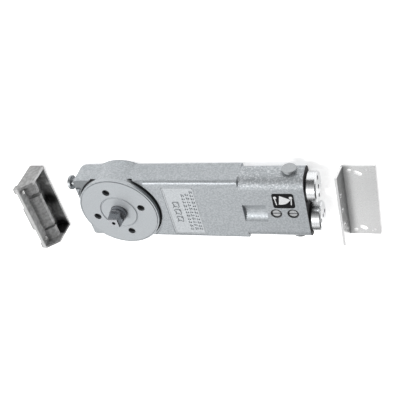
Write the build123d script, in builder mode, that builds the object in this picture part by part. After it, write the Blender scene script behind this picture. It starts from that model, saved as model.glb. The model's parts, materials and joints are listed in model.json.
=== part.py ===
"""Concealed overhead door closer with its two mounting clips.

Frame: the origin is on the spindle axis, in the flat back face of the body.
+X runs from the spindle to the spring caps, +Z runs out of the front face
along the spindle. Lengths are in millimetres, angles in degrees.
"""

from build123d import *
import math
import os

os.makedirs("parts", exist_ok=True)

# ---------------------------------------------------------------- body casting
body_thickness = 33.0
half_width = 41.0
left_end = -47.5
shoulder_x = 143.0
body_end = 211.5
front_edge_r = 4.5
left_back_r = 7.0
left_corner_r = 4.0
spring_end_r = 12.0

boss_r = 45.0
seat_z = 33.2
groove_r = 48.2
groove_floor = 27.5
land_r = 50.3
land_z = 31.0
land_side_x = 38.0
land_side_y = 30.0

cam_chamber_r = 37.0
chamber_floor = 5.0
cap_bore_r = 39.5
cap_bore_floor = 25.0
carriage_chamber_end = 68.5
carriage_chamber_half = 31.0
carriage_chamber_roof = 27.0

# ------------------------------------------------------- spindle and its bushes
shaft_r = 9.525
journal_r = 8.0
running_gap = 0.06
thrust_gap = 0.1
lower_bush_r = 11.5
lower_bush_floor = 2.5
lower_bush_top = 8.9
lower_boss_r = 15.0
upper_bush_r = 14.0
upper_bush_top = 31.0
spindle_foot = 2.7
collar_top = 44.4
square_top = 55.4
square_base = 12.7
square_tip = 11.7
square_chamfer = 0.7
collar_chamfer = 0.4
collar_groove_r = 8.5
collar_groove = (41.9, 43.3)
clamp_thread_r = 2.1
clamp_thread_depth = 12.0

# ------------------------------------------------------------------ bearing cap
cap_r = 46.5
cap_face_r = 44.5
cap_top = 37.4
cap_rim_drop = 0.4
ring_groove_depth = 1.6
ring_groove_width = 0.7
spigot_floor = 25.3
spanner_circle_r = 29.5
spanner_hole_r = 4.3
spanner_hole_depth = 5.0
spanner_angle = 13.45
ring_r = 21.4
ring_half = 1.0
ring_depth = 0.9
cap_seal_r = 43.0
cap_seal_wire_r = 0.9
shaft_seal_r = 13.0
shaft_seal_top = 35.2
shaft_hole_r = shaft_r + 0.4

# ---------------------------------------------------------------- cam and roller
opening_angle = 105.0
carriage_travel = 21.0
roller_r = 9.0
cam_follow_r = roller_r + 0.25
cam_pitch_min = 24.0
cam_rise = carriage_travel / math.radians(opening_angle)
cam_back_r = 30.0
cam_floor = 11.5
cam_top = 21.5
key_width = 4.0
key_inner = 7.5
key_outer = 11.6
roller_pin_r = 3.5

# -------------------------------------------------- carriage, pistons and springs
cylinder_y = 20.5
cylinder_z = 16.5
cylinder_r = 14.2
plate_thickness = 2.8
plate_lower_z = 8.3
plate_upper_z = 21.9
crosshead_start = 36.6
crosshead_end = 47.0
crosshead_half = 28.0
arm_half = 8.0
rivet_r = 2.0
rivet_ys = (-25.0, -10.0, 10.0, 25.0)
push_rod_r = 5.0
push_rod_socket = 6.0
piston_start = 72.0
piston_length = 12.0
piston_r = cylinder_r - 0.07
piston_groove_r = 12.4
piston_groove = (4.0, 7.0)
check_offset = 7.5
check_port_r = 1.3
check_ball_r = 2.2
check_gap = 0.1
check_pocket_depth = 5.2
spring_mean_r = 10.5
spring_wire_r = 1.7
spring_turns = 15
spring_end_gap = 0.1

# --------------------------------------------------------------------- end caps
thread_start = 203.0
thread_r = 14.7
neck_r = 14.3
end_cap_gap = 2.0
flange_start = body_end + end_cap_gap
flange_end = 223.0
flange_r = 16.2
flange_chamfer = 1.2
cap_pin_hole_r = 2.3
cap_pin_circle_r = 9.8
cap_pin_depth = 4.0
cap_thread_depth = 9.0
cap_turn = (-15.0, 79.0)

# ------------------------------------------------------------ regulating valves
valve_xs = (178.6, 196.4)
valve_y = -3.0
valve_recess_r = 6.1
valve_recess_depth = 1.3
valve_bore_r = 4.2
valve_floor = 22.5
valve_top = 32.3
needle_r = 1.9
needle_bore_r = 2.05
port_z = 17.5
port_r = 1.25
valve_slot = 1.3
valve_slot_depth = 1.6
valve_seat_gap = 0.3
valve_groove_start = valve_floor + 3.0
valve_groove_width = 1.6
valve_groove_r = valve_bore_r - 1.2

# ------------------------------------------------------------- mounting studs
stud_head_r = 8.0
stud_neck_r = 4.6
stud_base_r = 6.2
stud_shank_r = 4.0
side_stud_x = 196.0
stud_base_height = 0.8
side_stud_height = 4.4
side_head_height = 2.2
side_stud_shank = 5.0
end_stud_y = 33.0
end_stud_z = 24.0
end_stud_height = 7.0
end_head_height = 3.0
end_stud_shank = 7.0
stud_edge_r = 0.6

# ------------------------------------------------- pocket, nameplate and label
trough_start = 143.2
trough_end = 168.8
trough_y = -3.1
trough_r = 15.7
trough_depth = 5.0
plate_x = (57.2, 94.2)
plate_y = (-36.2, 33.0)
plate_recess = 1.0
plate_gap = 0.3
name_plate_thickness = 0.7
label_x = (177.2, 200.0)
label_y = (5.0, 24.7)
label_thickness = 0.35
label_corner_r = 2.6

# ------------------------------------------------------------------- jamb clip
jamb_y = -9.4
jamb_face = -117.3
clip_half = 47.6
jamb_height = 43.0
jamb_depth = 18.5
jamb_base = 4.0
jamb_wall = 3.0
jamb_cut_z = 31.0
pad_proud = 1.6
pad_height = 8.0
middle_pad = 34.0
end_pad = 8.0
pad_corner_r = 1.5
outer_edge_r = 1.0
end_edge_r = 0.8
rib_reach = 13.8
rib_back_z = 20.0
rib_tip_z = 24.5
rib_front_z = 32.5
rib_ends = ((46.0, 27.0), (21.5, -25.0), (-28.5, -46.0))
jamb_screw_ys = (38.2, -35.9)
jamb_screw_z = 37.0
jamb_screw_head_r = 2.3
jamb_screw_head = 1.8
jamb_screw_chamfer = 0.4
jamb_screw_slot = 0.8
jamb_screw_r = 1.5
wall_hole = (11.0, 32.4, 1.5)

# ----------------------------------------------------------------- header clip
clip_y = -12.4
header_face = 244.3
header_plate = 34.8
header_half = 47.5
sheet = 2.5
web_top = 21.5
web_lean = 10.0
bend_r = 1.6
web_hole_r = 2.75
fixing_hole_r = 2.3
fixing_hole = (8.5, 6.0)
slot_length = 9.0
slot_r = 2.2
slot_place = (17.0, 9.5)
slot_turn = -32.0
pilot_hole_r = 1.0
pilot_holes = ((26.0, 5.0), (29.0, 6.5))


def solid_ring(outer_r, inner_r, low, high):
    """Round ring about the Z axis."""
    with BuildPart() as ring:
        with BuildSketch(Plane.XY.offset(low)):
            Circle(outer_r)
            Circle(inner_r, mode=Mode.SUBTRACT)
        extrude(amount=high - low)
    return ring


def save(piece, name):
    """Label a finished piece and write its STEP file."""
    piece.part.label = name
    export_step(piece.part, f"parts/{name}.step")


# ==================================================================== housing
with BuildPart() as housing:
    # wide end of the casting: its long side profile, with the back left corner rounded
    with BuildSketch(Plane.XZ.offset(-half_width)):
        with Locations(((left_end + shoulder_x) / 2, body_thickness / 2)):
            Rectangle(shoulder_x - left_end, body_thickness)
        fillet(vertices().group_by(Axis.X)[0].sort_by(Axis.Y)[0], left_back_r)
    extrude(amount=2 * half_width)
    fillet(housing.edges().filter_by(Axis.Z).group_by(Axis.X)[0], left_corner_r)
    fillet(housing.edges().filter_by(Axis.X).group_by(Axis.Z)[-1], front_edge_r)

    # spring end, flush with the wide end but with large round corners
    with BuildSketch(Plane.YZ.offset(shoulder_x - 1)):
        with Locations((0, body_thickness / 2)):
            RectangleRounded(2 * half_width, body_thickness, spring_end_r)
    extrude(amount=body_end - shoulder_x + 1)

    # machined land around the spindle boss
    with BuildSketch(Plane.XY.offset(land_z)):
        Circle(land_r)
        with Locations((land_side_x, land_side_y)):
            Rectangle(2 * half_width + land_side_x, half_width, align=(Align.MAX, Align.MIN))
    extrude(amount=body_thickness - land_z + 1, mode=Mode.SUBTRACT)

    # round boss through the full thickness, and the groove around its top
    Cylinder(boss_r, seat_z, align=(Align.CENTER, Align.CENTER, Align.MIN))
    with BuildSketch(Plane.XY.offset(groove_floor)):
        Circle(groove_r)
        Circle(boss_r, mode=Mode.SUBTRACT)
    extrude(amount=seat_z - groove_floor + 1, mode=Mode.SUBTRACT)

    # cam chamber, cap thread and carriage chamber
    with BuildSketch(Plane.XY.offset(chamber_floor)):
        Circle(cam_chamber_r)
    extrude(amount=cap_bore_floor - chamber_floor, mode=Mode.SUBTRACT)
    with BuildSketch(Plane.XY.offset(cap_bore_floor)):
        Circle(cap_bore_r)
    extrude(amount=seat_z - cap_bore_floor, mode=Mode.SUBTRACT)
    with BuildSketch(Plane.XY.offset(chamber_floor)):
        Rectangle(carriage_chamber_end, 2 * carriage_chamber_half, align=(Align.MIN, Align.CENTER))
    extrude(amount=carriage_chamber_roof - chamber_floor, mode=Mode.SUBTRACT)

    # lower bush boss on the chamber floor, with its pocket
    with BuildSketch(Plane.XY.offset(chamber_floor)):
        Circle(lower_boss_r)
    extrude(amount=lower_bush_top - chamber_floor)
    with BuildSketch(Plane.XY.offset(lower_bush_floor)):
        Circle(lower_bush_r)
    extrude(amount=lower_bush_top - lower_bush_floor, mode=Mode.SUBTRACT)

    # twin spring cylinders and their cap threads
    with BuildSketch(Plane.YZ.offset(carriage_chamber_end - 1)):
        with Locations((cylinder_y, cylinder_z), (-cylinder_y, cylinder_z)):
            Circle(cylinder_r)
    extrude(amount=body_end - carriage_chamber_end + 1, mode=Mode.SUBTRACT)
    with BuildSketch(Plane.YZ.offset(thread_start)):
        with Locations((cylinder_y, cylinder_z), (-cylinder_y, cylinder_z)):
            Circle(thread_r)
    extrude(amount=body_end - thread_start, mode=Mode.SUBTRACT)

    # valve holes with their recesses, needle bores and oil ports
    valve_places = [(x, valve_y) for x in valve_xs]
    with BuildSketch(Plane.XY.offset(body_thickness - valve_recess_depth)):
        with Locations(*valve_places):
            Circle(valve_recess_r)
    extrude(amount=valve_recess_depth, mode=Mode.SUBTRACT)
    with BuildSketch(Plane.XY.offset(valve_floor)):
        with Locations(*valve_places):
            Circle(valve_bore_r)
    extrude(amount=body_thickness - valve_floor, mode=Mode.SUBTRACT)
    with BuildSketch(Plane.XY.offset(port_z)):
        with Locations(*valve_places):
            Circle(needle_bore_r)
    extrude(amount=valve_floor - port_z, mode=Mode.SUBTRACT)
    with BuildSketch(Plane.YZ.offset(carriage_chamber_end - 1)):
        with Locations((valve_y, port_z)):
            Circle(port_r)
    extrude(amount=valve_xs[1] - carriage_chamber_end + 1, mode=Mode.SUBTRACT)
    with BuildSketch(Plane.XZ.offset(-cylinder_y / 2)):
        with Locations(*[(x, port_z) for x in valve_xs]):
            Circle(port_r)
    extrude(amount=cylinder_y, mode=Mode.SUBTRACT)

    # concave pocket beside the spring end
    trough_z = body_thickness + trough_r - trough_depth
    with BuildSketch(Plane.YZ.offset(trough_start)):
        with Locations((trough_y, trough_z)):
            Circle(trough_r)
    extrude(amount=trough_end - trough_start, mode=Mode.SUBTRACT)

    # nameplate recess
    with BuildSketch(Plane.XY.offset(body_thickness - plate_recess)):
        with Locations((sum(plate_x) / 2, sum(plate_y) / 2)):
            Rectangle(plate_x[1] - plate_x[0], plate_y[1] - plate_y[0])
    extrude(amount=plate_recess, mode=Mode.SUBTRACT)

    # tapped holes for the three mounting studs
    for side in (1, -1):
        with BuildSketch(Plane.XZ.offset(-side * half_width)):
            with Locations((side_stud_x, cylinder_z)):
                Circle(stud_shank_r)
        extrude(amount=side * side_stud_shank, mode=Mode.SUBTRACT)
    with BuildSketch(Plane.YZ.offset(left_end)):
        with Locations((end_stud_y, end_stud_z)):
            Circle(stud_shank_r)
    extrude(amount=end_stud_shank, mode=Mode.SUBTRACT)
save(housing, "housing")

# ================================================================ bearing cap
with BuildPart() as bearing_cap:
    with BuildSketch(Plane.XY.offset(seat_z)):
        Circle(cap_r)
    extrude(amount=cap_top - cap_rim_drop - seat_z)
    with BuildSketch(Plane.XY.offset(seat_z)):
        Circle(cap_face_r)
    extrude(amount=cap_top - seat_z)
    # narrow groove between the face and the rim
    with BuildSketch(Plane.XY.offset(cap_top - ring_groove_depth)):
        Circle(cap_face_r + ring_groove_width)
        Circle(cap_face_r, mode=Mode.SUBTRACT)
    extrude(amount=ring_groove_depth, mode=Mode.SUBTRACT)
    with BuildSketch(Plane.XY.offset(spigot_floor)):
        Circle(cap_bore_r)
    extrude(amount=seat_z - spigot_floor)
    # turned V groove around the spindle
    with BuildSketch(Plane.XZ):
        with BuildLine():
            Polyline(
                (ring_r - ring_half, cap_top),
                (ring_r, cap_top - ring_depth),
                (ring_r + ring_half, cap_top),
                close=True,
            )
        make_face()
    revolve(axis=Axis.Z, mode=Mode.SUBTRACT)
    # bush seat, seal seat and shaft hole
    with BuildSketch(Plane.XY.offset(spigot_floor)):
        Circle(upper_bush_r)
    extrude(amount=upper_bush_top - spigot_floor, mode=Mode.SUBTRACT)
    with BuildSketch(Plane.XY.offset(upper_bush_top)):
        Circle(shaft_seal_r)
    extrude(amount=shaft_seal_top - upper_bush_top, mode=Mode.SUBTRACT)
    with BuildSketch(Plane.XY.offset(shaft_seal_top)):
        Circle(shaft_hole_r)
    extrude(amount=cap_top - shaft_seal_top, mode=Mode.SUBTRACT)
    # four spanner holes
    with BuildSketch(Plane.XY.offset(cap_top - spanner_hole_depth)):
        with PolarLocations(spanner_circle_r, 4, start_angle=spanner_angle):
            Circle(spanner_hole_r)
    extrude(amount=spanner_hole_depth, mode=Mode.SUBTRACT)
    # groove for the cap seal, in the underside of the flange
    with BuildSketch(Plane.XY.offset(seat_z)):
        Circle(cap_seal_r + cap_seal_wire_r)
        Circle(cap_seal_r - cap_seal_wire_r, mode=Mode.SUBTRACT)
    extrude(amount=2 * cap_seal_wire_r, mode=Mode.SUBTRACT)
save(bearing_cap, "bearing_cap")

with BuildPart() as bearing_cap_seal:
    with Locations((0, 0, seat_z + cap_seal_wire_r)):
        Torus(cap_seal_r, cap_seal_wire_r)
save(bearing_cap_seal, "bearing_cap_seal")

upper_bush = solid_ring(upper_bush_r, shaft_r + running_gap, spigot_floor, upper_bush_top)
save(upper_bush, "upper_bush")

shaft_seal = solid_ring(shaft_seal_r, shaft_r + running_gap, upper_bush_top, shaft_seal_top)
save(shaft_seal, "shaft_seal")

lower_bush = solid_ring(lower_bush_r, journal_r + running_gap, lower_bush_floor, lower_bush_top)
save(lower_bush, "lower_bush")

# ==================================================================== spindle
with BuildPart() as spindle:
    with BuildSketch(Plane.XY.offset(spindle_foot)):
        Circle(journal_r)
    extrude(amount=lower_bush_top - spindle_foot)
    with BuildSketch(Plane.XY.offset(lower_bush_top + thrust_gap)):
        Circle(shaft_r)
    extrude(amount=collar_top - lower_bush_top - thrust_gap)
    chamfer(spindle.faces().sort_by(Axis.Z)[-1].edges(), collar_chamfer)
    with BuildSketch(Plane.XY.offset(lower_bush_top)):
        Circle(journal_r)
    extrude(amount=thrust_gap)
    # ring groove below the collar's top
    with BuildSketch(Plane.XY.offset(collar_groove[0])):
        Circle(shaft_r + 1)
        Circle(collar_groove_r, mode=Mode.SUBTRACT)
    extrude(amount=collar_groove[1] - collar_groove[0], mode=Mode.SUBTRACT)
    # tapered square for the arm
    with BuildSketch(Plane.XY.offset(collar_top)):
        Rectangle(square_base, square_base)
    with BuildSketch(Plane.XY.offset(square_top)):
        Rectangle(square_tip, square_tip)
    loft()
    chamfer(spindle.faces().sort_by(Axis.Z)[-1].edges(), square_chamfer)
    # tapped hole for the arm's clamping bolt
    with BuildSketch(Plane.XY.offset(square_top - clamp_thread_depth)):
        Circle(clamp_thread_r)
    extrude(amount=clamp_thread_depth, mode=Mode.SUBTRACT)
    # keyway on the side away from the roller
    with BuildSketch(Plane.XY.offset(cam_floor)):
        with Locations((-key_inner, 0)):
            Rectangle(shaft_r, key_width, align=(Align.MAX, Align.CENTER))
    extrude(amount=cam_top - cam_floor, mode=Mode.SUBTRACT)
save(spindle, "spindle")


def cam_flank_point(angle):
    """Cam surface point for a roller centre at this angle from the notch, in radians."""
    pitch = cam_pitch_min + cam_rise * abs(angle)
    slope = math.copysign(cam_rise, angle)
    normal_x = pitch * math.cos(angle) + slope * math.sin(angle)
    normal_y = pitch * math.sin(angle) - slope * math.cos(angle)
    reach = cam_follow_r / math.hypot(normal_x, normal_y)
    return (
        pitch * math.cos(angle) - reach * normal_x,
        pitch * math.sin(angle) - reach * normal_y,
    )


flank_steps = 12
flank_angles = [math.radians(opening_angle) * i / flank_steps for i in range(flank_steps + 1)]
left_flank = [cam_flank_point(angle) for angle in flank_angles]
right_flank = [(x, -y) for x, y in left_flank]

with BuildPart() as cam:
    with BuildSketch(Plane.XY.offset(cam_floor)):
        with BuildLine():
            Spline(*left_flank)
            ThreePointArc(left_flank[-1], (-cam_back_r, 0), right_flank[-1])
            Spline(*right_flank)
            ThreePointArc(right_flank[0], (cam_pitch_min - cam_follow_r, 0), left_flank[0])
        make_face()
        Circle(shaft_r, mode=Mode.SUBTRACT)
        with Locations((-key_outer, 0)):
            Rectangle(key_outer - key_inner, key_width, align=(Align.MIN, Align.CENTER), mode=Mode.SUBTRACT)
    extrude(amount=cam_top - cam_floor)
save(cam, "cam")

with BuildPart() as cam_key:
    with BuildSketch(Plane.XY.offset(cam_floor)):
        with Locations((-key_outer, 0)):
            Rectangle(key_outer - key_inner, key_width, align=(Align.MIN, Align.CENTER))
    extrude(amount=cam_top - cam_floor)
save(cam_key, "cam_key")

# =================================================== carriage, roller and pistons
crosshead_x = (crosshead_start + crosshead_end) / 2


def carriage_plate(low):
    """Side plate of the carriage: a plate on the crosshead with one arm to the roller pin."""
    with BuildPart() as plate:
        with BuildSketch(Plane.XY.offset(low)):
            with Locations((crosshead_x, 0)):
                Rectangle(crosshead_end - crosshead_start, 2 * crosshead_half)
            with BuildLine():
                arm_tip = (cam_pitch_min, arm_half)
                Line(arm_tip, (crosshead_start, 2 * arm_half))
                Line((crosshead_start, 2 * arm_half), (crosshead_start, -2 * arm_half))
                Line((crosshead_start, -2 * arm_half), (cam_pitch_min, -arm_half))
                ThreePointArc((cam_pitch_min, -arm_half), (cam_pitch_min - arm_half + 1, 0), arm_tip)
            make_face()
            with Locations((cam_pitch_min, 0)):
                Circle(roller_pin_r, mode=Mode.SUBTRACT)
            with Locations(*[(crosshead_x, y) for y in rivet_ys]):
                Circle(rivet_r, mode=Mode.SUBTRACT)
        extrude(amount=plate_thickness)
    return plate


carriage_plate_lower = carriage_plate(plate_lower_z)
save(carriage_plate_lower, "carriage_plate_lower")
carriage_plate_upper = carriage_plate(plate_upper_z)
save(carriage_plate_upper, "carriage_plate_upper")

with BuildPart() as crosshead:
    with BuildSketch(Plane.XY.offset(plate_lower_z + plate_thickness)):
        with Locations((crosshead_x, 0)):
            Rectangle(crosshead_end - crosshead_start, 2 * crosshead_half)
        with Locations(*[(crosshead_x, y) for y in rivet_ys]):
            Circle(rivet_r, mode=Mode.SUBTRACT)
    extrude(amount=plate_upper_z - plate_lower_z - plate_thickness)
    with BuildSketch(Plane.YZ.offset(crosshead_end - push_rod_socket)):
        with Locations((cylinder_y, cylinder_z), (-cylinder_y, cylinder_z)):
            Circle(push_rod_r)
    extrude(amount=push_rod_socket, mode=Mode.SUBTRACT)
save(crosshead, "crosshead")

with BuildPart() as carriage_rivets:
    with BuildSketch(Plane.XY.offset(plate_lower_z)):
        with Locations(*[(crosshead_x, y) for y in rivet_ys]):
            Circle(rivet_r)
    extrude(amount=plate_upper_z + plate_thickness - plate_lower_z)
    with BuildSketch(Plane.YZ.offset(crosshead_end - push_rod_socket)):
        with Locations((cylinder_y, cylinder_z), (-cylinder_y, cylinder_z)):
            Circle(push_rod_r)
    extrude(amount=push_rod_socket, mode=Mode.SUBTRACT)
save(carriage_rivets, "carriage_rivets")

with BuildPart() as roller_pin:
    with BuildSketch(Plane.XY.offset(plate_lower_z)):
        with Locations((cam_pitch_min, 0)):
            Circle(roller_pin_r)
    extrude(amount=plate_upper_z + plate_thickness - plate_lower_z)
save(roller_pin, "roller_pin")

with BuildPart() as cam_roller:
    with BuildSketch(Plane.XY.offset(cam_floor)):
        with Locations((cam_pitch_min, 0)):
            Circle(roller_r)
            Circle(roller_pin_r + running_gap, mode=Mode.SUBTRACT)
    extrude(amount=cam_top - cam_floor)
save(cam_roller, "cam_roller")

for number, side in ((1, 1), (2, -1)):
    axis_y = side * cylinder_y

    with BuildPart() as push_rod:
        with BuildSketch(Plane.YZ.offset(crosshead_end - push_rod_socket)):
            with Locations((axis_y, cylinder_z)):
                Circle(push_rod_r)
        extrude(amount=piston_start - crosshead_end + 2 * push_rod_socket)
    save(push_rod, f"push_rod_{number}")

    with BuildPart() as piston:
        with BuildSketch(Plane.YZ.offset(piston_start)):
            with Locations((axis_y, cylinder_z)):
                Circle(piston_r)
        extrude(amount=piston_length)
        with BuildSketch(Plane.YZ.offset(piston_start)):
            with Locations((axis_y, cylinder_z)):
                Circle(push_rod_r)
        extrude(amount=push_rod_socket, mode=Mode.SUBTRACT)
        with BuildSketch(Plane.YZ.offset(piston_start + piston_groove[0])):
            with Locations((axis_y, cylinder_z)):
                Circle(piston_r + 1)
                Circle(piston_groove_r, mode=Mode.SUBTRACT)
        extrude(amount=piston_groove[1] - piston_groove[0], mode=Mode.SUBTRACT)
        with BuildSketch(Plane.YZ.offset(piston_start)):
            with Locations((axis_y, cylinder_z + check_offset)):
                Circle(check_port_r)
        extrude(amount=piston_length, mode=Mode.SUBTRACT)
        with BuildSketch(Plane.YZ.offset(piston_start + piston_length - check_pocket_depth)):
            with Locations((axis_y, cylinder_z + check_offset)):
                Circle(check_ball_r + check_gap)
        extrude(amount=check_pocket_depth, mode=Mode.SUBTRACT)
    save(piston, f"piston_{number}")

    with BuildPart() as piston_seal:
        with BuildSketch(Plane.YZ.offset(piston_start + piston_groove[0])):
            with Locations((axis_y, cylinder_z)):
                Circle(piston_r)
                Circle(piston_groove_r, mode=Mode.SUBTRACT)
        extrude(amount=piston_groove[1] - piston_groove[0])
    save(piston_seal, f"piston_seal_{number}")

    with BuildPart() as check_ball:
        ball_x = piston_start + piston_length - check_pocket_depth + check_ball_r + 2 * check_gap
        with Locations((ball_x, axis_y, cylinder_z + check_offset)):
            Sphere(check_ball_r)
    save(check_ball, f"check_ball_{number}")

    # coil spring between the piston and the end cap
    spring_start = piston_start + piston_length + spring_wire_r + spring_end_gap
    spring_length = thread_start - spring_wire_r - spring_end_gap - spring_start
    with BuildPart() as spring:
        with BuildLine():
            coil = Helix(
                pitch=spring_length / spring_turns,
                height=spring_length,
                radius=spring_mean_r,
                center=(spring_start, axis_y, cylinder_z),
                direction=(1, 0, 0),
            )
        with BuildSketch(Plane(origin=coil @ 0, z_dir=coil % 0)):
            Circle(spring_wire_r)
        sweep(path=coil, is_frenet=True)
    save(spring, f"spring_{number}")

    with BuildPart() as end_cap:
        with BuildSketch(Plane.YZ.offset(thread_start)):
            with Locations((axis_y, cylinder_z)):
                Circle(thread_r)
        extrude(amount=body_end - thread_start)
        with BuildSketch(Plane.YZ.offset(body_end)):
            with Locations((axis_y, cylinder_z)):
                Circle(neck_r)
        extrude(amount=end_cap_gap)
        with BuildSketch(Plane.YZ.offset(flange_start)):
            with Locations((axis_y, cylinder_z)):
                Circle(flange_r)
        extrude(amount=flange_end - flange_start)
        rim = end_cap.faces().sort_by(Axis.X)[-1].edges()
        chamfer(rim, flange_chamfer)
        with BuildSketch(Plane.YZ.offset(flange_end - cap_pin_depth)):
            with Locations((axis_y, cylinder_z)):
                with PolarLocations(cap_pin_circle_r, 2, start_angle=cap_turn[number - 1]):
                    Circle(cap_pin_hole_r)
        extrude(amount=cap_pin_depth, mode=Mode.SUBTRACT)
        with BuildSketch(Plane.YZ.offset(flange_end - cap_thread_depth)):
            with Locations((axis_y, cylinder_z)):
                Circle(cap_pin_hole_r)
        extrude(amount=cap_thread_depth, mode=Mode.SUBTRACT)
    save(end_cap, f"end_cap_{number}")

    with BuildPart() as end_cap_seal:
        ring_r = neck_r + end_cap_gap / 2
        ring_plane = Plane(origin=(body_end + end_cap_gap / 2, axis_y, cylinder_z), z_dir=(1, 0, 0))
        with Locations(ring_plane):
            Torus(ring_r, end_cap_gap / 2)
    save(end_cap_seal, f"end_cap_seal_{number}")

    with BuildPart() as side_stud:
        outward = Plane(origin=(side_stud_x, side * half_width, cylinder_z), z_dir=(0, side, 0))
        with BuildSketch(outward.offset(-side_stud_shank)):
            Circle(stud_shank_r)
        extrude(amount=side_stud_shank)
        with BuildSketch(outward):
            Circle(stud_base_r)
        extrude(amount=stud_base_height)
        with BuildSketch(outward):
            Circle(stud_neck_r)
        extrude(amount=side_stud_height)
        with BuildSketch(outward.offset(side_stud_height - side_head_height)):
            Circle(stud_head_r)
        extrude(amount=side_head_height)
        head_rim = side_stud.faces().sort_by(Axis.Y)[-1 if side > 0 else 0].edges()
        fillet(head_rim, stud_edge_r)
    save(side_stud, f"side_stud_{number}")

    # regulating valve: slotted screw with a needle, and its seal
    valve_x = valve_xs[number - 1]
    with BuildPart() as valve_screw:
        with BuildSketch(Plane.XY.offset(valve_floor + valve_seat_gap)):
            with Locations((valve_x, valve_y)):
                Circle(valve_bore_r - running_gap)
        extrude(amount=valve_top - valve_floor - valve_seat_gap)
        with BuildSketch(Plane.XY.offset(port_z + port_r + valve_seat_gap)):
            with Locations((valve_x, valve_y)):
                Circle(needle_r)
        extrude(amount=valve_floor - port_z - port_r)
        with BuildSketch(Plane.XY.offset(valve_top - valve_slot_depth)):
            with Locations((valve_x, valve_y)):
                Rectangle(2 * valve_bore_r, valve_slot)
        extrude(amount=valve_slot_depth, mode=Mode.SUBTRACT)
        with BuildSketch(Plane.XY.offset(valve_groove_start)):
            with Locations((valve_x, valve_y)):
                Circle(valve_bore_r)
                Circle(valve_groove_r, mode=Mode.SUBTRACT)
        extrude(amount=valve_groove_width, mode=Mode.SUBTRACT)
    save(valve_screw, f"valve_screw_{number}")

    with BuildPart() as valve_seal:
        with BuildSketch(Plane.XY.offset(valve_groove_start)):
            with Locations((valve_x, valve_y)):
                Circle(valve_bore_r - running_gap)
                Circle(valve_groove_r, mode=Mode.SUBTRACT)
        extrude(amount=valve_groove_width)
    save(valve_seal, f"valve_seal_{number}")

with BuildPart() as end_stud:
    outward = Plane(origin=(left_end, end_stud_y, end_stud_z), z_dir=(-1, 0, 0))
    with BuildSketch(outward.offset(-end_stud_shank)):
        Circle(stud_shank_r)
    extrude(amount=end_stud_shank)
    with BuildSketch(outward):
        Circle(stud_neck_r)
    extrude(amount=end_stud_height)
    with BuildSketch(outward.offset(end_stud_height - end_head_height)):
        Circle(stud_head_r)
    extrude(amount=end_head_height)
    fillet(end_stud.faces().sort_by(Axis.X)[0].edges(), stud_edge_r)
save(end_stud, "end_stud")

# ======================================================== nameplate and label
with BuildPart() as nameplate:
    plate_floor = body_thickness - plate_recess
    plate_centre = (sum(plate_x) / 2, sum(plate_y) / 2)
    plate_size = (plate_x[1] - plate_x[0] - 2 * plate_gap, plate_y[1] - plate_y[0] - 2 * plate_gap)
    with BuildSketch(Plane.XY.offset(plate_floor)):
        with Locations(plate_centre):
            Rectangle(*plate_size)
    extrude(amount=name_plate_thickness)
save(nameplate, "nameplate")

with BuildPart() as adjustment_label:
    with BuildSketch(Plane.XY.offset(body_thickness)):
        with Locations((sum(label_x) / 2, sum(label_y) / 2)):
            RectangleRounded(label_x[1] - label_x[0], label_y[1] - label_y[0], label_corner_r)
    extrude(amount=label_thickness)
save(adjustment_label, "adjustment_label")

# ================================================================== jamb clip
with BuildPart() as jamb_clip:
    jamb_inner = jamb_face + jamb_base
    jamb_open = jamb_face + jamb_depth
    # end profile, solid from end to end, then hollowed
    with BuildSketch(Plane.XZ.offset(-jamb_y - clip_half)):
        with BuildLine():
            Polyline(
                (jamb_face, 0),
                (jamb_open, 0),
                (jamb_open, jamb_cut_z),
                (jamb_inner, jamb_height),
                (jamb_face, jamb_height),
                close=True,
            )
        make_face()
    extrude(amount=2 * clip_half)
    fillet(jamb_clip.edges().filter_by(Axis.Y), outer_edge_r)
    fillet(jamb_clip.faces().sort_by(Axis.Y)[-1].edges(), end_edge_r)
    fillet(jamb_clip.faces().sort_by(Axis.Y)[0].edges(), end_edge_r)
    inner_length = 2 * (clip_half - jamb_wall)
    with BuildSketch(Plane.XY.offset(jamb_wall)):
        with Locations((jamb_inner, jamb_y)):
            Rectangle(2 * jamb_depth, inner_length, align=(Align.MIN, Align.CENTER))
    extrude(amount=jamb_height, mode=Mode.SUBTRACT)

    # rest pads on the outer face, along the front lip
    pad_z = jamb_height - pad_height / 2
    end_pad_y = clip_half - end_pad / 2
    with BuildSketch(Plane.YZ.offset(jamb_face - pad_proud)):
        with Locations((jamb_y, pad_z)):
            RectangleRounded(middle_pad, pad_height, pad_corner_r)
        with Locations((jamb_y + end_pad_y, pad_z), (jamb_y - end_pad_y, pad_z)):
            RectangleRounded(end_pad, pad_height, pad_corner_r)
    extrude(amount=pad_proud + 1)

    # three slanting ribs on the inside of the base, open behind
    for rib_start, rib_end in rib_ends:
        with BuildSketch(Plane.XZ.offset(-jamb_y - rib_start)):
            with BuildLine():
                Polyline(
                    (jamb_inner - 1, rib_back_z),
                    (jamb_face + rib_reach, rib_back_z),
                    (jamb_face + rib_reach, rib_tip_z),
                    (jamb_inner, rib_front_z),
                    (jamb_inner - 1, rib_front_z),
                    close=True,
                )
            make_face()
        extrude(amount=rib_start - rib_end)

    # two screw holes through the base, and a small hole in the back wall
    screw_places = [(jamb_y + y, jamb_screw_z) for y in jamb_screw_ys]
    with BuildSketch(Plane.YZ.offset(jamb_face)):
        with Locations(*screw_places):
            Circle(jamb_screw_r)
    extrude(amount=jamb_base, mode=Mode.SUBTRACT)
    with BuildSketch(Plane.XY):
        with Locations((jamb_face + wall_hole[0], jamb_y + wall_hole[1])):
            Circle(wall_hole[2])
    extrude(amount=jamb_wall, mode=Mode.SUBTRACT)
save(jamb_clip, "jamb_clip")

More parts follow.
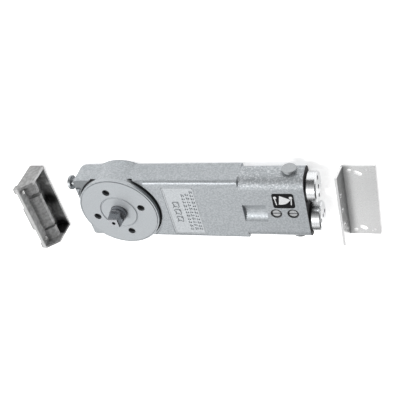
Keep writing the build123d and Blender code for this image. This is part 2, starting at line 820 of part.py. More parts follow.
with BuildPart() as jamb_screws:
    with BuildSketch(Plane.YZ.offset(jamb_face)):
        with Locations(*screw_places):
            Circle(jamb_screw_r)
    extrude(amount=jamb_base)
    with BuildSketch(Plane.YZ.offset(jamb_inner)):
        with Locations(*screw_places):
            Circle(jamb_screw_head_r)
    extrude(amount=jamb_screw_head)
    chamfer(jamb_screws.faces().sort_by(Axis.X)[-2:].edges(), jamb_screw_chamfer)
    with BuildSketch(Plane.YZ.offset(jamb_inner + jamb_screw_head / 2)):
        with Locations(*screw_places):
            Rectangle(jamb_screw_slot, 2 * jamb_screw_head_r)
    extrude(amount=jamb_screw_head / 2, mode=Mode.SUBTRACT)
save(jamb_screws, "jamb_screws")

# ================================================================ header clip
with BuildPart() as header_clip:
    lean = math.radians(web_lean)
    foot = (header_face + sheet, sheet)
    lean_x = (web_top - sheet) * math.tan(lean)
    thick_x = sheet / math.cos(lean)
    with BuildSketch(Plane.XZ.offset(-clip_y - header_half)):
        with BuildLine():
            Polyline(
                (header_face + header_plate, 0),
                (header_face + header_plate, sheet),
                foot,
                (foot[0] - lean_x, web_top),
                (foot[0] - lean_x - thick_x, web_top),
                (foot[0] - thick_x + sheet * math.tan(lean), 0),
                close=True,
            )
        make_face()
        fillet(vertices().sort_by(Axis.X)[2:4].sort_by(Axis.Y)[0], sheet + bend_r)
    extrude(amount=2 * header_half)
    # three holes in the web, the outer two on the end caps' screw holes
    with BuildSketch(Plane.YZ.offset(header_face - web_top)):
        with Locations(*[(clip_y + step * cylinder_y, cylinder_z) for step in (-1, 0, 1)]):
            Circle(web_hole_r)
    extrude(amount=web_top + sheet + 1, mode=Mode.SUBTRACT)
    # fixing holes, slots and pilot marks near both ends of the plate
    with BuildSketch(Plane.XY):
        for end in (1, -1):
            with Locations((header_face + fixing_hole[0], clip_y + end * (header_half - fixing_hole[1]))):
                Circle(fixing_hole_r)
            slot_centre = (header_face + slot_place[0], clip_y + end * (header_half - slot_place[1]))
            with Locations(Location(slot_centre, slot_turn)):
                SlotOverall(slot_length, 2 * slot_r)
            for pilot_x, inset in pilot_holes:
                with Locations((header_face + pilot_x, clip_y + end * (header_half - inset))):
                    Circle(pilot_hole_r)
    extrude(amount=sheet, mode=Mode.SUBTRACT)
save(header_clip, "header_clip")
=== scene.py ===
"""Looks of the concealed door closer: camera, stage, materials and surface detail round the CAD frame."""

import bmesh
import bpy
import json
import math
from mathutils import Matrix, Vector


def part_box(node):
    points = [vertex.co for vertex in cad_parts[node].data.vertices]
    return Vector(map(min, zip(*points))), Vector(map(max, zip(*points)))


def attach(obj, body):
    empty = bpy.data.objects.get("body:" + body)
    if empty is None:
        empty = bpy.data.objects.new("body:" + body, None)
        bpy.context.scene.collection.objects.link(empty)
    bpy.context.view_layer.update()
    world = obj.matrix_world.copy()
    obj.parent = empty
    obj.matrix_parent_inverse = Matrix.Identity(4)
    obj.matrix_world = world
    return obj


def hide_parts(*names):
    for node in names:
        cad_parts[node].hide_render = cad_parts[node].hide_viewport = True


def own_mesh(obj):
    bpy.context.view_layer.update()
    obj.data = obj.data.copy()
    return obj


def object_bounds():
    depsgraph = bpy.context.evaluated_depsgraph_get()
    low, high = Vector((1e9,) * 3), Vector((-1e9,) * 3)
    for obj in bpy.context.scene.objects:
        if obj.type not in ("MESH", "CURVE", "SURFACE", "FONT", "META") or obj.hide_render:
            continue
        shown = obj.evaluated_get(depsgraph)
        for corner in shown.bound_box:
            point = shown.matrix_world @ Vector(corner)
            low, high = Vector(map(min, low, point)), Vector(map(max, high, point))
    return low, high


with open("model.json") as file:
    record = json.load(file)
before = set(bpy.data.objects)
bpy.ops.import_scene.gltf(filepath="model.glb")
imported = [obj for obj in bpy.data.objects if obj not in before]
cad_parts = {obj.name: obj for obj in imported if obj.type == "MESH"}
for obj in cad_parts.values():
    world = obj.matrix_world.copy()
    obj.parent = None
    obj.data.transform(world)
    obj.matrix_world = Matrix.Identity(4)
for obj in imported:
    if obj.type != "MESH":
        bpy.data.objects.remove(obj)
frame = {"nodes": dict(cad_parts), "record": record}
cad_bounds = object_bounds()
nodes = frame["nodes"]
MM = 0.001

# Places on the parts that a material needs, in metres in the row frame. A pair of numbers is where a soft
# edge starts and where it ends.
SPINDLE_AXIS = (0.0, 0.0)
LAND_TOP = (31.3 * MM, 31.1 * MM)
LAND_FOOT = (30.7 * MM, 30.9 * MM)
LAND_END = (-20.0 * MM, -24.0 * MM)
GROOVE_INNER = (44.8 * MM, 45.2 * MM)
GROOVE_OUTER = (48.4 * MM, 48.0 * MM)
GROOVE_TOP = (32.6 * MM, 31.6 * MM)
GROOVE_FLOOR = (27.0 * MM, 27.3 * MM)
GROOVE_END = (-44.0 * MM, -43.0 * MM)
GROOVE_SIDE = (40.6 * MM, 40.3 * MM)
VALVE_AXES = ((178.6 * MM, -3.0 * MM), (196.4 * MM, -3.0 * MM))
RECESS_EDGE = (6.2 * MM, 5.9 * MM)
RECESS_TOP = (32.7 * MM, 32.2 * MM)
BODY_END = (211.0 * MM, 211.4 * MM)
ROUGH_SIDE = (27.0 * MM, 33.0 * MM)
ROUGH_START = (140.0 * MM, 144.0 * MM)
SPANNER_REACH = (43.0 * MM, 42.0 * MM)
SPANNER_DEPTH = (35.8 * MM, 33.2 * MM)
SPRING_BORE_Y = 20.5 * MM
SPRING_BORE_Z = 16.5 * MM
CAP_HOLE_REACH = (13.2 * MM, 12.8 * MM)
CAP_HOLE_DEPTH = (222.95 * MM, 222.8 * MM)
TRAY_RIM_TOP = (41.6 * MM, 42.6 * MM)
TRAY_RIM_END = (-99.7 * MM, -99.1 * MM)
TRAY_RIM_FACE = (-117.8 * MM, -117.2 * MM)
POCKET_1_AXIS = (-107.5 * MM, -11.0 * MM)
POCKET_1_EDGE = (14.0 * MM, 4.0 * MM)
POCKET_2_AXIS = (-106.5 * MM, -54.0 * MM)
POCKET_2_EDGE = (14.0 * MM, 5.0 * MM)
POCKET_TOP = (19.8 * MM, 18.0 * MM)
POCKET_FLOOR = (1.5 * MM, 2.5 * MM)
SHEEN_ACROSS = (20.0 * MM, -52.0 * MM)
BEND_SHADE = (0.2465, 0.2575)
LEG_TOP = (4.0 * MM, 2.8 * MM)
RING_RADIANS_PER_METRE = 2400.0

# ------------------------------------------------------------------ node helpers


class Shader:
    """A material with a Principled shader, and short calls for the procedural nodes that feed it."""

    def __init__(self, name, base, metallic=0.0, roughness=0.5, **constants):
        self.material = bpy.data.materials.new(name)
        self.material.use_nodes = True
        self.tree = self.material.node_tree
        self.shader = self.tree.nodes["Principled BSDF"]
        self.set(self.shader, "Base Color", (*base, 1.0))
        self.set(self.shader, "Metallic", metallic)
        self.set(self.shader, "Roughness", roughness)
        for key, value in constants.items():
            self.set(self.shader, key.replace("_", " ").title(), value)
        self.place = self.tree.nodes.new("ShaderNodeTexCoord").outputs["Object"]
        self.normal = None

    def set(self, node, key, value):
        socket = node.inputs[key]
        if isinstance(value, bpy.types.NodeSocket):
            self.tree.links.new(value, socket)
        else:
            socket.default_value = value

    def node(self, kind, **inputs):
        made = self.tree.nodes.new(kind)
        for key, value in inputs.items():
            self.set(made, key, value)
        return made

    def noise(self, scale, detail=3.0, roughness=0.55, place=None):
        made = self.node("ShaderNodeTexNoise", Vector=place or self.place, Scale=scale, Detail=detail)
        self.set(made, "Roughness", roughness)
        return made.outputs[0]

    def grains(self, scale):
        """Distance to the nearest grain's middle."""
        made = self.node("ShaderNodeTexVoronoi", Vector=self.place, Scale=scale)
        return made.outputs["Distance"]

    def stretched(self, scales):
        """Object place with each axis scaled, for grain that runs one way."""
        made = self.node("ShaderNodeMapping", Vector=self.place, Scale=scales)
        return made.outputs[0]

    def axis(self, letter):
        return self.node("ShaderNodeSeparateXYZ", Vector=self.place).outputs[letter]

    def math(self, kind, a, b=0.0):
        made = self.tree.nodes.new("ShaderNodeMath")
        made.operation = kind
        self.set(made, 0, a)
        self.set(made, 1, b)
        return made.outputs[0]

    def all_of(self, first, *masks):
        """The product of masks from 0 to 1, so that it is 1 only where all of them are."""
        for mask in masks:
            first = self.math("MULTIPLY", first, mask)
        return first

    def between(self, value, low, high, out_low=0.0, out_high=1.0):
        """Smooth step of a value between two edges, mapped to an output range."""
        made = self.tree.nodes.new("ShaderNodeMapRange")
        made.interpolation_type = "SMOOTHSTEP"
        self.set(made, "Value", value)
        self.set(made, "From Min", low)
        self.set(made, "From Max", high)
        self.set(made, "To Min", out_low)
        self.set(made, "To Max", out_high)
        return made.outputs[0]

    def blend(self, factor, a, b):
        made = self.tree.nodes.new("ShaderNodeMix")
        made.data_type = "RGBA"
        self.set(made, 0, factor)
        self.set(made, 6, (*a, 1.0) if isinstance(a, tuple) else a)
        self.set(made, 7, (*b, 1.0) if isinstance(b, tuple) else b)
        return made.outputs[2]

    def radius(self, centre):
        """Distance from an axis along Z through centre, in metres."""
        away = self.node("ShaderNodeVectorMath", Vector=self.place)
        away.operation = "SUBTRACT"
        away.inputs[1].default_value = (centre[0], centre[1], 0.0)
        flat = self.node("ShaderNodeVectorMath", Vector=away.outputs[0])
        flat.operation = "MULTIPLY"
        flat.inputs[1].default_value = (1.0, 1.0, 0.0)
        length = self.node("ShaderNodeVectorMath", Vector=flat.outputs[0])
        length.operation = "LENGTH"
        return length.outputs["Value"]

    def bump(self, height, depth, strength=1.0):
        """Add a height, depth metres from 0 to 1, on top of the bumps so far."""
        made = self.node("ShaderNodeBump", Height=height, Distance=depth, Strength=strength)
        if self.normal is not None:
            self.set(made, "Normal", self.normal)
        self.normal = made.outputs[0]
        self.set(self.shader, "Normal", self.normal)

    def colour(self, socket):
        self.set(self.shader, "Base Color", socket)

    def gloss(self, socket):
        self.set(self.shader, "Roughness", socket)


# -------------------------------------------------------------------- materials


def silver_casting():
    """Silver paint over a sand casting: coarse grain, with near-black painted shade in the cap groove, in the
    valve recesses and on the cap end, painted shade on the land at the spindle end, and a painted glint near
    the caps."""
    made = Shader("silver_casting", (0.47, 0.495, 0.515), metallic=0.4)
    x, y, z = made.axis("X"), made.axis("Y"), made.axis("Z")
    coarse = made.noise(520.0, detail=4.0, roughness=0.7)
    grain = made.noise(1300.0, detail=4.0, roughness=0.7)
    rough_end = made.all_of(made.between(y, *ROUGH_SIDE), made.between(x, *ROUGH_START))
    shade = made.blend(made.between(coarse, 0.4, 0.6), (0.36, 0.385, 0.405), (0.5, 0.525, 0.545))
    pitted = made.blend(made.between(grain, 0.34, 0.5, 0.45, 0.0), shade, (0.25, 0.265, 0.28))
    # Painted highlight: light flecks on the coarse grain along the rough side near the caps.
    glint = made.all_of(made.between(coarse, 0.52, 0.6), rough_end)
    painted = made.blend(made.math("MULTIPLY", glint, 0.4), pitted, (0.85, 0.87, 0.89))
    # Painted shade: the land at the spindle end is darkened.
    land = made.all_of(made.between(z, *LAND_TOP), made.between(z, *LAND_FOOT), made.between(x, *LAND_END))
    painted = made.blend(made.math("MULTIPLY", land, 0.7), painted, (0.14, 0.15, 0.155))
    # Painted shade: the cap groove, the valve recesses and the body's end face behind the end caps go
    # near-black, and are also made rougher and less metallic.
    from_spindle = made.radius(SPINDLE_AXIS)
    groove = made.all_of(
        made.between(from_spindle, *GROOVE_INNER), made.between(from_spindle, *GROOVE_OUTER),
        made.between(z, *GROOVE_TOP), made.between(z, *GROOVE_FLOOR), made.between(x, *GROOVE_END),
        made.between(made.math("ABSOLUTE", y), *GROOVE_SIDE))
    for valve_axis in VALVE_AXES:
        from_valve = made.radius(valve_axis)
        recess = made.all_of(made.between(from_valve, *RECESS_EDGE), made.between(z, *RECESS_TOP))
        groove = made.math("MAXIMUM", groove, recess)
    painted_shade = made.math("MAXIMUM", groove, made.between(x, *BODY_END))
    made.colour(made.blend(painted_shade, painted, (0.035, 0.035, 0.037)))
    roughness = made.between(grain, 0.3, 0.7, 0.5, 0.36)
    made.gloss(made.math("MAXIMUM", roughness, made.math("MULTIPLY", painted_shade, 0.75)))
    made.set(made.shader, "Metallic", made.math("SUBTRACT", 0.4, made.math("MULTIPLY", painted_shade, 0.3)))
    made.bump(coarse, made.math("ADD", 0.14 * MM, made.math("MULTIPLY", rough_end, 0.4 * MM)))
    made.bump(grain, 0.07 * MM)
    return made.material


def silver_cap():
    """Silver paint on a turned face, with faint rings round the spindle and painted shade in the spanner
    holes.
    """
    made = Shader("silver_cap", (0.5, 0.525, 0.545), metallic=0.4)
    from_spindle = made.radius(SPINDLE_AXIS)
    ring = made.math("MULTIPLY", from_spindle, RING_RADIANS_PER_METRE)
    rings = made.math("SINE", made.math("ADD", ring, made.noise(60.0)))
    fine = made.noise(1100.0, detail=4.0, roughness=0.65)
    paint = made.blend(made.between(fine, 0.35, 0.6), (0.42, 0.445, 0.465), (0.49, 0.515, 0.535))
    made.gloss(made.between(fine, 0.3, 0.7, 0.48, 0.38))
    made.bump(rings, 0.02 * MM, 0.5)
    made.bump(fine, 0.04 * MM)
    z = made.axis("Z")
    # Painted shade: the spanner holes are darkened near black.
    hole_shade = made.all_of(made.between(from_spindle, *SPANNER_REACH), made.between(z, *SPANNER_DEPTH))
    made.colour(made.blend(made.math("MULTIPLY", hole_shade, 0.9), paint, (0.03, 0.03, 0.032)))
    return made.material


def silver_nameplate():
    """Silver paint over a fine cast panel, a little lighter than the body."""
    made = Shader("silver_nameplate", (0.56, 0.585, 0.605), metallic=0.4)
    fine = made.noise(1000.0, detail=4.0, roughness=0.65)
    made.colour(made.blend(made.between(fine, 0.38, 0.6), (0.47, 0.495, 0.515), (0.6, 0.625, 0.645)))
    made.gloss(made.between(fine, 0.3, 0.7, 0.48, 0.36))
    made.bump(fine, 0.06 * MM)
    return made.material


def turned_steel():
    """Bright turned steel with tool marks round the cylinder axis, and painted shade in the holes of the end
    caps.
    """
    made = Shader("turned_steel", (0.72, 0.73, 0.74), metallic=1.0)
    cuts = made.noise(1.0, detail=2.0, place=made.stretched((5200.0, 90.0, 90.0)))
    bright = made.blend(made.between(cuts, 0.35, 0.7), (0.66, 0.67, 0.68), (0.76, 0.77, 0.78))
    # Painted shade: the holes in the end caps are darkened near black.
    off_y = made.math("SUBTRACT", made.math("ABSOLUTE", made.axis("Y")), SPRING_BORE_Y)
    off_z = made.math("SUBTRACT", made.axis("Z"), SPRING_BORE_Z)
    squares = made.math("ADD", made.math("MULTIPLY", off_y, off_y), made.math("MULTIPLY", off_z, off_z))
    from_bore = made.math("SQRT", squares)
    x = made.axis("X")
    hole_shade = made.all_of(made.between(from_bore, *CAP_HOLE_REACH), made.between(x, *CAP_HOLE_DEPTH))
    made.colour(made.blend(hole_shade, bright, (0.02, 0.02, 0.02)))
    roughness = made.between(cuts, 0.3, 0.7, 0.22, 0.3)
    made.gloss(made.math("MAXIMUM", roughness, made.math("MULTIPLY", hole_shade, 0.6)))
    made.bump(cuts, 0.02 * MM, 0.5)
    return made.material


def plated_stud():
    """Satin plated steel with fine file marks."""
    made = Shader("plated_stud", (0.55, 0.56, 0.57), metallic=0.9)
    marks = made.noise(1.0, place=made.stretched((900.0, 900.0, 900.0)))
    made.colour(made.blend(made.between(marks, 0.35, 0.7), (0.33, 0.345, 0.355), (0.42, 0.435, 0.445)))
    made.gloss(made.between(marks, 0.3, 0.7, 0.36, 0.46))
    made.bump(marks, 0.03 * MM, 0.6)
    return made.material


def dark_steel():
    """Machined spindle steel, oiled, with fine milling lines."""
    made = Shader("dark_steel", (0.34, 0.35, 0.37), metallic=1.0)
    lines = made.noise(1.0, place=made.stretched((350.0, 350.0, 2600.0)))
    made.colour(made.blend(made.between(lines, 0.35, 0.7), (0.32, 0.33, 0.35), (0.42, 0.43, 0.45)))
    made.gloss(made.between(lines, 0.3, 0.7, 0.22, 0.34))
    made.bump(lines, 0.03 * MM, 0.6)
    return made.material


def ground_steel():
    """Ground steel of the inner pieces."""
    made = Shader("ground_steel", (0.55, 0.55, 0.56), metallic=1.0)
    lines = made.noise(1.0, place=made.stretched((400.0, 4000.0, 400.0)))
    made.colour(made.blend(made.between(lines, 0.3, 0.7), (0.5, 0.5, 0.51), (0.62, 0.62, 0.63)))
    made.gloss(made.between(lines, 0.3, 0.7, 0.25, 0.38))
    made.bump(lines, 0.02 * MM, 0.5)
    return made.material


def bronze():
    """Sintered bronze with open pores."""
    made = Shader("bronze", (0.55, 0.36, 0.18), metallic=0.9)
    pores = made.grains(1800.0)
    made.colour(made.blend(made.between(pores, 0.1, 0.5), (0.3, 0.19, 0.09), (0.6, 0.4, 0.2)))
    made.gloss(made.between(pores, 0.1, 0.5, 0.6, 0.38))
    made.bump(pores, 0.05 * MM, 0.6)
    return made.material


def black_label():
    """Black printed film with a slight orange-peel."""
    made = Shader("black_label", (0.006, 0.006, 0.007), roughness=0.6)
    made.set(made.shader, "Specular IOR Level", 0.15)
    peel = made.noise(900.0)
    made.colour(made.blend(made.between(peel, 0.3, 0.7), (0.004, 0.004, 0.005), (0.009, 0.009, 0.01)))
    made.gloss(made.between(peel, 0.3, 0.7, 0.5, 0.65))
    made.bump(peel, 0.03 * MM, 0.4)
    return made.material


def white_print():
    """Opaque white ink, slightly uneven."""
    made = Shader("white_print", (0.78, 0.79, 0.8), roughness=0.5)
    cover = made.noise(1500.0)
    made.colour(made.blend(made.between(cover, 0.3, 0.6), (0.6, 0.61, 0.62), (0.86, 0.87, 0.88)))
    made.gloss(made.between(cover, 0.3, 0.7, 0.45, 0.6))
    return made.material


def grey_iron():
    """Plain grey casting, matt, with painted shade in two places down in its tray and painted highlights on
    its rims.
    """
    made = Shader("grey_iron", (0.36, 0.36, 0.36), metallic=0.3)
    x, z = made.axis("X"), made.axis("Z")
    grain = made.noise(900.0, detail=5.0, roughness=0.65)
    blotch = made.between(made.noise(260.0, detail=4.0), 0.36, 0.66)
    shade = made.blend(blotch, (0.28, 0.28, 0.28), (0.44, 0.44, 0.44))
    cast = made.blend(made.between(grain, 0.28, 0.48, 0.4, 0.0), shade, (0.2, 0.2, 0.2))
    # Painted highlight: the tray's rims are lightened.
    rim = made.math("MAXIMUM", made.between(z, *TRAY_RIM_TOP), made.between(x, *TRAY_RIM_END))
    rim_highlight = made.all_of(rim, made.between(x, *TRAY_RIM_FACE, 0.1, 0.55))
    lit_rims = made.blend(rim_highlight, cast, (0.78, 0.78, 0.78))
    # Painted shade: two places down in the tray are darkened near black.
    pocket = made.math("MAXIMUM", made.between(made.radius(POCKET_1_AXIS), *POCKET_1_EDGE),
                       made.between(made.radius(POCKET_2_AXIS), *POCKET_2_EDGE))
    dark = made.all_of(pocket, made.between(z, *POCKET_TOP), made.between(z, *POCKET_FLOOR))
    made.colour(made.blend(dark, lit_rims, (0.02, 0.02, 0.02)))
    made.gloss(made.between(grain, 0.3, 0.7, 0.6, 0.42))
    made.bump(made.noise(240.0), 0.4 * MM, 0.4)
    made.bump(grain, 0.3 * MM, 0.8)
    return made.material


def bright_screw():
    """Bright zinc plated screw head."""
    made = Shader("bright_screw", (0.82, 0.82, 0.8), metallic=0.6)
    wear = made.noise(1500.0)
    made.colour(made.blend(made.between(wear, 0.3, 0.7), (0.7, 0.7, 0.69), (0.9, 0.9, 0.89)))
    made.gloss(made.between(wear, 0.3, 0.7, 0.18, 0.32))
    made.bump(wear, 0.04 * MM, 0.4)
    return made.material


def bright_sheet():
    """Bright zinc plated sheet: rolling lines, a faint grain, a painted sheen across it, and painted shade in
    a darker band along the bend.
    """
    made = Shader("bright_sheet", (0.78, 0.785, 0.785), metallic=0.8)
    rolled = made.noise(1.0, place=made.stretched((300.0, 3200.0, 3200.0)))
    speck = made.noise(1600.0, detail=2.0)
    # Painted sheen: the sheet gets lighter across Y.
    sheen = made.blend(made.between(made.axis("Y"), *SHEEN_ACROSS), (0.78, 0.785, 0.785), (0.97, 0.97, 0.97))
    sheet = made.blend(made.between(speck, 0.35, 0.68, 0.14, 0.0), sheen, (0.6, 0.605, 0.605))
    # Painted shade: a darker band on the leg along the bend.
    near_bend = made.between(made.axis("X"), *BEND_SHADE, 0.75, 0.0)
    on_leg = made.between(made.axis("Z"), *LEG_TOP)
    made.colour(made.blend(made.all_of(near_bend, on_leg), sheet, (0.4, 0.405, 0.405)))
    made.gloss(made.between(rolled, 0.3, 0.7, 0.26, 0.36))
    made.bump(rolled, 0.012 * MM, 0.5)
    return made.material


def valve_steel():
    """Machined steel screw with a dark oiled slot."""
    made = Shader("valve_steel", (0.5, 0.51, 0.52), metallic=0.9)
    marks = made.noise(1400.0)
    made.colour(made.blend(made.between(marks, 0.3, 0.7), (0.32, 0.33, 0.34), (0.56, 0.57, 0.58)))
    made.gloss(made.between(marks, 0.3, 0.7, 0.3, 0.45))
    made.bump(marks, 0.05 * MM, 0.5)
    return made.material


def spring_steel():
    """Oil tempered spring wire."""
    made = Shader("spring_steel", (0.3, 0.31, 0.33), metallic=0.9)
    scale_marks = made.noise(1200.0)
    made.colour(made.blend(made.between(scale_marks, 0.3, 0.7), (0.2, 0.21, 0.23), (0.36, 0.37, 0.39)))
    made.gloss(made.between(scale_marks, 0.3, 0.7, 0.3, 0.48))
    made.bump(scale_marks, 0.04 * MM, 0.5)
    return made.material


def black_rubber():
    """Matt nitrile rubber."""
    made = Shader("black_rubber", (0.02, 0.02, 0.02), roughness=0.7)
    bloom = made.noise(1000.0)
    made.colour(made.blend(made.between(bloom, 0.3, 0.7), (0.014, 0.014, 0.014), (0.035, 0.035, 0.036)))
    made.gloss(made.between(bloom, 0.3, 0.7, 0.6, 0.8))
    made.bump(bloom, 0.03 * MM, 0.5)
    return made.material


makers = {
    "silver_casting": silver_casting, "silver_cap": silver_cap, "silver_nameplate": silver_nameplate,
    "turned_steel": turned_steel, "plated_stud": plated_stud, "dark_steel": dark_steel,
    "ground_steel": ground_steel, "bronze": bronze, "black_label": black_label, "grey_iron": grey_iron,
    "bright_screw": bright_screw, "bright_sheet": bright_sheet, "valve_steel": valve_steel,
    "spring_steel": spring_steel, "black_rubber": black_rubber,
}
finishes = {name: make() for name, make in makers.items()}
finishes["white_print"] = white_print()

for part in frame["record"]["subparts"]:
    mesh = nodes[part["node"]].data
    mesh.materials.clear()
    mesh.materials.append(finishes[part["material_slot"]])

# ------------------------------------------------------------------- small parts


def piece(name, mesh_maker, finish, body):
    """A new mesh piece in the row frame that rides on a body."""
    mesh = bpy.data.meshes.new(name)
    build = bmesh.new()
    mesh_maker(build)
    bmesh.ops.recalc_face_normals(build, faces=build.faces)
    build.to_mesh(mesh)
    build.free()
    made = bpy.data.objects.new(name, mesh)
    bpy.context.scene.collection.objects.link(made)
    mesh.materials.append(finishes[finish])
    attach(made, body)
    return made


def raised(build, outline, low, high, draft=0.0):
    """A raised shape with a closed outline in X and Y, its top drawn in by draft."""
    centre = Vector((sum(x for x, y in outline) / len(outline), sum(y for x, y in outline) / len(outline)))
    foot = [build.verts.new((x, y, low)) for x, y in outline]
    top = []
    for x, y in outline:
        inward = centre - Vector((x, y))
        inward = inward.normalized() * min(draft, inward.length * 0.45)
        top.append(build.verts.new((x + inward.x, y + inward.y, high)))
    count = len(outline)
    for i in range(count):
        build.faces.new((foot[i], foot[(i + 1) % count], top[(i + 1) % count], top[i]))
    build.faces.new(top)
    build.faces.new(foot[::-1])


def capsule(x, y, length, width, turn=0.0, steps=6):
    """Outline of a bar with round ends, its middle at x, y."""
    points = []
    for side in (1, -1):
        for i in range(steps + 1):
            angle = math.pi * (i / steps - 0.5) + (0.0 if side > 0 else math.pi)
            across = width / 2 * math.sin(angle)
            along = side * (length - width) / 2 + width / 2 * math.cos(angle)
            points.append((along, across))
    cos, sin = math.cos(turn), math.sin(turn)
    return [(x + a * cos - b * sin, y + a * sin + b * cos) for a, b in points]


def disc(x, y, radius, steps=16):
    """Outline of a circle, its middle at x, y."""
    angles = [2 * math.pi * i / steps for i in range(steps)]
    return [(x + radius * math.cos(t), y + radius * math.sin(t)) for t in angles]


# --------------------------------------------------------------------- springs
# Each spring is drawn by a copy of its mesh that rides on the closer body, and the CAD spring is hidden.
for name in ("spring_1", "spring_2"):
    coil = bpy.data.objects.new(name + "_coil", nodes[name].data.copy())
    bpy.context.scene.collection.objects.link(coil)
    coil.matrix_world = nodes[name].matrix_world.copy()
    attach(coil, "closer_body")
    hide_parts(name)
    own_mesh(coil)

# ------------------------------------------------------------------- nameplate
plate_low, plate_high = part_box("nameplate")


def frame_of_bars(build, x, y, half_x, half_y, width, low, high, draft):
    """Four bars round a rectangle."""
    for side in (-1, 1):
        raised(build, capsule(x + side * half_x, y, 2 * half_y + width, width, math.pi / 2), low, high, draft)
        raised(build, capsule(x, y + side * half_y, 2 * half_x + width, width), low, high, draft)


BORDER_INSET, BORDER_WIDTH, BORDER_HIGH, BORDER_DRAFT = 1.2 * MM, 0.9 * MM, 0.35 * MM, 0.15 * MM
RELIEF_SUNK, RELIEF_HIGH, RELIEF_DRAFT = 0.05 * MM, 1.0 * MM, 0.3 * MM
BOX_HALF_X, BOX_HALF_Y, BOX_WIDTH, BOX_ROW = 2.9 * MM, 3.1 * MM, 1.5 * MM, 11.0 * MM
DASH_LENGTHS, DASH_WIDTH, DASH_GAP = (2.6, 4.2, 3.2), 1.5 * MM, 1.6 * MM
SECOND_DASH_STEP, SECOND_DASH_SHARE, SECOND_DASH_WIDTH = 2.2 * MM, 0.7, 1.3 * MM


def plate_relief(build):
    """A plain raised border, three open boxes and rows of dashes: a pattern with no letters in it."""
    low = plate_high.z - RELIEF_SUNK
    high = plate_high.z + RELIEF_HIGH
    middle = (plate_low + plate_high) / 2
    edge_x = (plate_high.x - plate_low.x) / 2 - BORDER_INSET
    edge_y = (plate_high.y - plate_low.y) / 2 - BORDER_INSET
    frame_of_bars(build, middle.x, middle.y, edge_x, edge_y, BORDER_WIDTH, low, plate_high.z + BORDER_HIGH,
                  BORDER_DRAFT)
    for i in (-1, 0, 1):
        box_y = middle.y + (10.5 * i - 1.0) * MM
        frame_of_bars(build, plate_low.x + BOX_ROW, box_y, BOX_HALF_X, BOX_HALF_Y, BOX_WIDTH, low, high,
                      RELIEF_DRAFT)
    for column in range(3):
        x = plate_low.x + (20.5 + 5.2 * column) * MM
        y = plate_low.y + 6.0 * MM
        step = column
        while y < plate_high.y - 8.5 * MM:
            length = DASH_LENGTHS[step % 3] * MM
            half_way = y + length / 2
            first = capsule(x, half_way, length, DASH_WIDTH, math.pi / 2)
            second = capsule(x + SECOND_DASH_STEP, half_way, length * SECOND_DASH_SHARE, SECOND_DASH_WIDTH,
                             math.pi / 2)
            raised(build, first, low, high, RELIEF_DRAFT)
            raised(build, second, low, high, RELIEF_DRAFT)
            y += length + DASH_GAP
            step += 1


piece("nameplate_relief", plate_relief, "silver_nameplate", "closer_body")

# ----------------------------------------------------------------------- label
label_low, label_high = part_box("adjustment_label")


PRINT_SUNK, PRINT_HIGH = 0.02 * MM, 0.05 * MM
FAN_REACH, FAN_STEPS, FAN_START, FAN_SWEEP = 12.0 * MM, 12, -100, 75
KEY_SIDE, KEY_HEAD, KEY_LENGTH, KEY_WIDTH, KEY_LEAN = 8.2 * MM, 1.7 * MM, 9.0 * MM, 1.1 * MM, 0.12


def label_marks(build):
    """A plain fan and two keys: generic marks with no writing."""
    low, high = label_high.z - PRINT_SUNK, label_high.z + PRINT_HIGH
    middle = (label_low + label_high) / 2
    tip = Vector((middle.x - 3.2 * MM, middle.y + 7.2 * MM))
    spread = [(tip.x, tip.y)]
    for i in range(FAN_STEPS + 1):
        angle = math.radians(FAN_START + FAN_SWEEP * i / FAN_STEPS)
        spread.append((tip.x + FAN_REACH * math.cos(angle), tip.y + FAN_REACH * math.sin(angle)))
    raised(build, spread, low, high)
    for side in (-1, 1):
        x = middle.x + side * KEY_SIDE
        raised(build, disc(x, middle.y + 4.6 * MM, KEY_HEAD), low, high)
        lean = math.pi / 2 - side * KEY_LEAN
        raised(build, capsule(x, middle.y - 1.0 * MM, KEY_LENGTH, KEY_WIDTH, lean), low, high)


piece("label_print", label_marks, "white_print", "closer_body")

# ------------------------------------------------------------------------ stage
# The floor reaches so far that it fills low views too, and lies just under the parts.
FLOOR_HALF = 60.0
FLOOR_DROP = 0.05 * MM
FLOOR_GLOW = 0.58
WORLD_STRENGTH = 1.25
SKY_TOWARD = (-0.5, -0.1, 0.86)
SKY_LOW, SKY_HIGH = (0.1, 0.06), (1.0, 0.85)
SKY_MIDDLE = ((0.45, 0.12), (0.72, 0.42))

floor_mesh = bpy.data.meshes.new("floor")
corners = [(-FLOOR_HALF, -FLOOR_HALF, 0), (FLOOR_HALF, -FLOOR_HALF, 0), (FLOOR_HALF, FLOOR_HALF, 0),
           (-FLOOR_HALF, FLOOR_HALF, 0)]
floor_mesh.from_pydata(corners, [], [(0, 1, 2, 3)])
floor = bpy.data.objects.new("floor", floor_mesh)
floor.location.z = -FLOOR_DROP
bpy.context.scene.collection.objects.link(floor)
paper = Shader("floor_paper", (0.9, 0.9, 0.9), roughness=0.95, emission_color=(1.0, 1.0, 1.0, 1.0),
               emission_strength=FLOOR_GLOW)
paper.colour(paper.blend(paper.noise(30.0), (0.9, 0.9, 0.9), (0.93, 0.93, 0.93)))
floor_mesh.materials.append(paper.material)

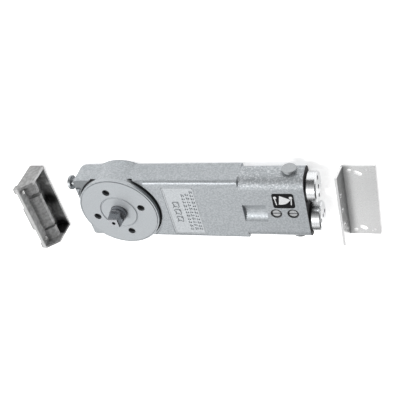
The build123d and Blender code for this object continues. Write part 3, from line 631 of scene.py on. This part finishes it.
world = bpy.data.worlds.new("studio")
bpy.context.scene.world = world
world.use_nodes = True
sky = world.node_tree
background = sky.nodes["Background"]
background.inputs["Strength"].default_value = WORLD_STRENGTH
direction = sky.nodes.new("ShaderNodeTexCoord")
toward_light = sky.nodes.new("ShaderNodeVectorMath")
toward_light.operation = "DOT_PRODUCT"
toward_light.inputs[1].default_value = SKY_TOWARD
sky.links.new(direction.outputs["Generated"], toward_light.inputs[0])
ramp = sky.nodes.new("ShaderNodeValToRGB")
sky.links.new(toward_light.outputs["Value"], ramp.inputs[0])
for stop, (place, grey) in zip(list(ramp.color_ramp.elements), (SKY_LOW, SKY_HIGH)):
    stop.position = place
    stop.color = (grey, grey, grey, 1)
for place, grey in SKY_MIDDLE:
    stop = ramp.color_ramp.elements.new(place)
    stop.color = (grey, grey, grey, 1)
sky.links.new(ramp.outputs["Color"], background.inputs["Color"])


def softbox(name, direction, distance, size, energy, aim):
    """Square area light at a distance along a direction from the aim, facing it."""
    light = bpy.data.lights.new(name, "AREA")
    light.size = size
    light.energy = energy
    lamp = bpy.data.objects.new(name, light)
    lamp.location = aim + Vector(direction).normalized() * distance
    lamp.rotation_mode = "QUATERNION"
    lamp.rotation_quaternion = (aim - lamp.location).to_track_quat("-Z", "Y")
    bpy.context.scene.collection.objects.link(lamp)


middle = (cad_bounds[0] + cad_bounds[1]) / 2
softbox("key_light", (-0.38, 0.1, 0.92), 1.3, 0.8, 1.8, middle)
softbox("edge_light", (-0.34, 0.1, 0.93), 1.6, 0.2, 10.0, middle)
softbox("plate_light", (-0.34, -0.64, 0.69), 1.5, 0.7, 1.5, middle)

# ----------------------------------------------------------------------- camera
SENSOR_WIDTH, LENS = 36.0, 66.4
camera_place = Vector((0.36459, 0.51387, 0.57484))
camera_back = Vector((0.33996, 0.63669, 0.69214))
camera_up = Vector((-0.00721, 0.73772, -0.67507))
camera_data = bpy.data.cameras.new("camera")
camera_data.sensor_width = SENSOR_WIDTH
camera_data.lens = LENS
camera = bpy.data.objects.new("camera", camera_data)
camera_right = camera_up.cross(camera_back).normalized()
camera.matrix_world = Matrix.Translation(camera_place) @ Matrix((
    camera_right, camera_back.cross(camera_right).normalized(), camera_back.normalized()
)).transposed().to_4x4()
bpy.context.scene.collection.objects.link(camera)
bpy.context.scene.camera = camera
bpy.context.scene.view_settings.view_transform = "Standard"
